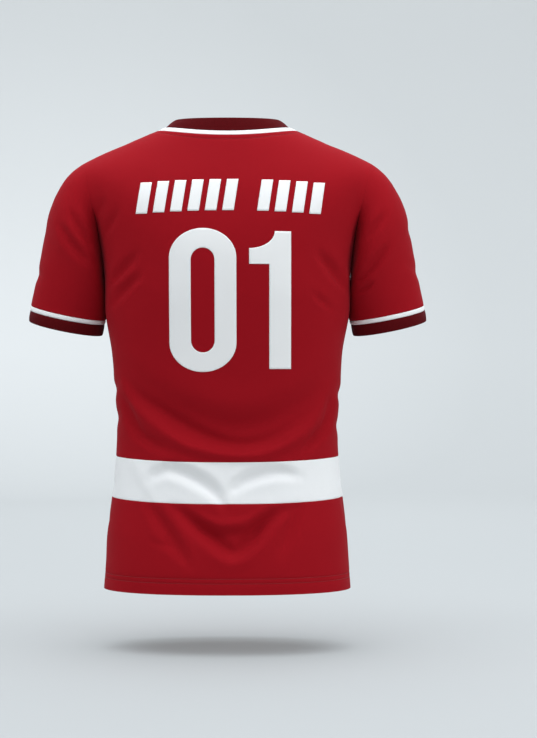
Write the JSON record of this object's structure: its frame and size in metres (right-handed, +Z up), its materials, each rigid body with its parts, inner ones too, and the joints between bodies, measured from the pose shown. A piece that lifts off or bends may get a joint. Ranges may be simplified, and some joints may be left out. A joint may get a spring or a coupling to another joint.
{
  "type": "football jersey",
  "caption": "Short-sleeved crew-neck football jersey in red with a white waist hoop, dark ribbed collar and cuffs and a printed squad number on the back, filled out as if worn.",
  "frame": {"origin": "on the centre line at the height of the neck points, between the shoulders that hold the garment up", "axes": "+Z up, the front faces -Y, the wearer's left sleeve is at +X"},
  "size_m": [0.6198, 0.2536, 0.7211],
  "materials": {
    "red_knit": "matte polyester knit, deep red",
    "white_knit": "matte polyester knit or transfer print, white",
    "maroon_rib": "ribbed knit, dark maroon"
  },
  "bodies": {
    "root": {"back_upper": "red_knit", "back_band": "white_knit", "back_lower": "red_knit", "front_upper": "red_knit", "front_band": "white_knit", "front_lower": "red_knit", "sleeve_left": "red_knit", "sleeve_right": "red_knit", "cuff_stripe_left": "white_knit", "cuff_stripe_right": "white_knit", "cuff_left": "maroon_rib", "cuff_right": "maroon_rib", "collar_stripe": "white_knit", "collar": "maroon_rib", "number_zero": "white_knit", "number_one": "white_knit", "name_bar_01": "white_knit", "name_bar_02": "white_knit", "name_bar_03": "white_knit", "name_bar_04": "white_knit", "name_bar_05": "white_knit", "name_bar_06": "white_knit", "name_bar_07": "white_knit", "name_bar_08": "white_knit", "name_bar_09": "white_knit", "name_bar_10": "white_knit"}
  },
  "joints": []
}
